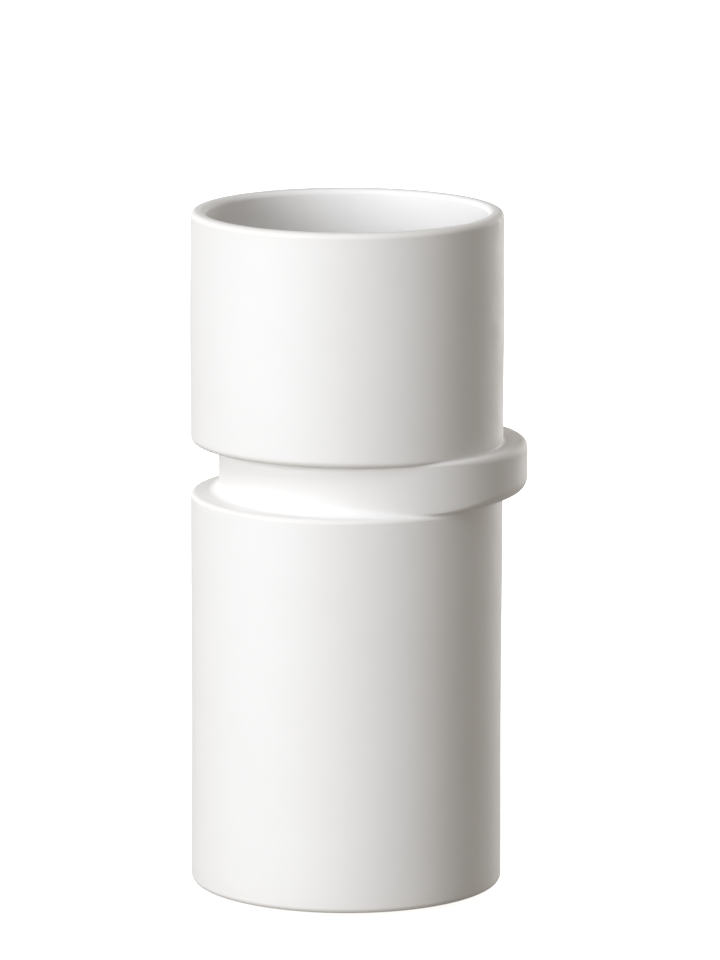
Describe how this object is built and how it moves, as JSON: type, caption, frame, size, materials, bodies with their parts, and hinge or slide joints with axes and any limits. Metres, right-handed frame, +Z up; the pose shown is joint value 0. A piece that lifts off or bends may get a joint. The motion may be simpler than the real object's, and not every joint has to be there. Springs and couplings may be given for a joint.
{
  "type": "flower vase",
  "caption": "Matte white ceramic vase: a tall cylinder in two sections with a sideways-shifted ring between them, open at the top, standing on small pads.",
  "frame": {"origin": "on the ground, at the bottom centre of the vase's bounding box", "axes": "+Z up along the vase, +X the way the ring is shifted sideways"},
  "size_m": [0.1198, 0.11, 0.242],
  "materials": {
    "glazed_ceramic": "matte white glaze",
    "pad_rubber": "matte off-white soft rubber"
  },
  "bodies": {
    "root": {"lower_cylinder": "glazed_ceramic", "offset_ring": "glazed_ceramic", "upper_cylinder": "glazed_ceramic", "foot_pad_1": "pad_rubber", "foot_pad_2": "pad_rubber", "foot_pad_3": "pad_rubber", "foot_pad_4": "pad_rubber"}
  },
  "joints": []
}
